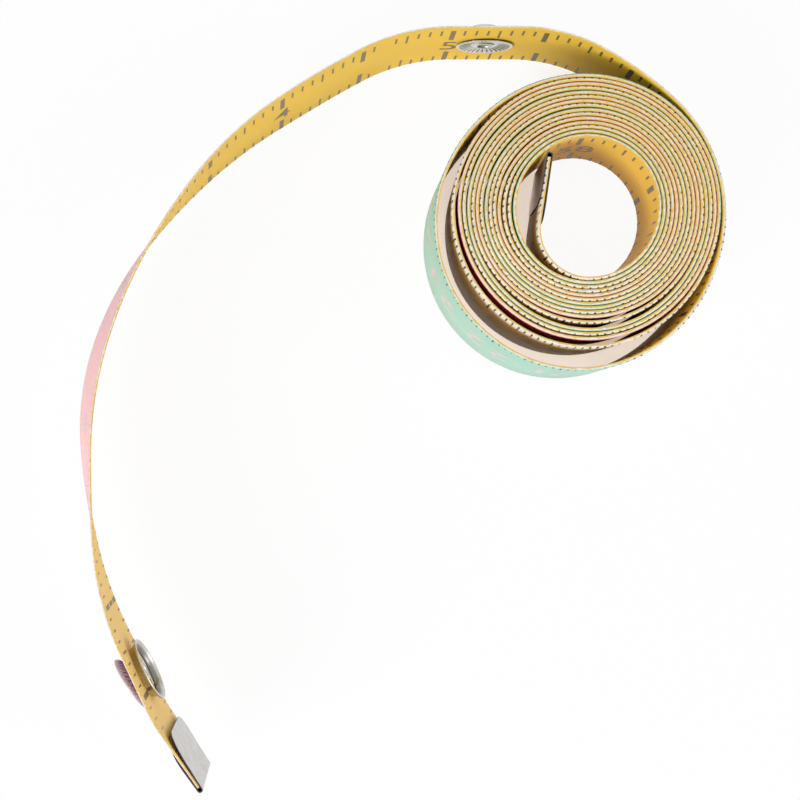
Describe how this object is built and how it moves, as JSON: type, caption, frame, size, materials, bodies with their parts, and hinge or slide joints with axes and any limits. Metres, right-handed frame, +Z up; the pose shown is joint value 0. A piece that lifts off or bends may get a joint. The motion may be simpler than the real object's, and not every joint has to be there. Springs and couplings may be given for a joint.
{
  "type": "cloth tape measure",
  "caption": "Coiled soft tape measure standing on edge, with folded metal ends and a press stud that closes the coil; its free tail curves away.",
  "frame": {"origin": "centre of the bounding box in plan, on the surface that the coil stands on", "axes": "+Z up, across the tape's width and along the coil's axis; the tail runs towards -X and its metal end lies towards -Y"},
  "size_m": [0.088, 0.1032, 0.0249],
  "materials": {
    "tape": "coated cloth, satin; yellow inch face inside, coloured centimetre bands outside",
    "ferrule": "folded sheet, satin nickel",
    "press_stud": "pressed sheet, bright nickel",
    "spring_wire": "drawn wire, bright"
  },
  "bodies": {
    "coil": {"tape_coil": "tape"},
    "inner_end": {"tape_inner_end": "tape", "inner_ferrule": "ferrule"},
    "tail_near": {"tape_tail_near": "tape", "stud_post_cap": "press_stud", "stud": "press_stud"},
    "tail_middle": {"tape_tail_middle": "tape"},
    "tail_end": {"tape_tail_end": "tape", "outer_ferrule": "ferrule", "socket_shell": "press_stud", "socket_spring": "spring_wire", "socket_post_cap": "press_stud"}
  },
  "joints": [
    {"name": "inner_end_flex", "type": "hinge", "parent": "coil", "child": "inner_end", "pos_m": [0.02589, 0.01603, 0.0095], "axis": [0, 0, 1], "range_deg": [-25, 2], "stiffness_Nm_per_rad": 0.004},
    {"name": "tail_root_flex", "type": "hinge", "parent": "coil", "child": "tail_near", "pos_m": [0.03744, 0.03967, 0.00951], "axis": [0, 0, 1], "range_deg": [-35, 8], "stiffness_Nm_per_rad": 0.003},
    {"name": "tail_middle_flex", "type": "hinge", "parent": "tail_near", "child": "tail_middle", "pos_m": [-0.02622, 0.02979, 0.01379], "axis": [0.1322, 0.0077, 0.9912], "range_deg": [-35, 35], "stiffness_Nm_per_rad": 0.003},
    {"name": "tail_end_flex", "type": "hinge", "parent": "tail_middle", "child": "tail_end", "pos_m": [-0.04008, -0.0202, 0.01537], "axis": [0.1652, 0.0273, 0.9859], "range_deg": [-40, 45], "stiffness_Nm_per_rad": 0.003}
  ]
}
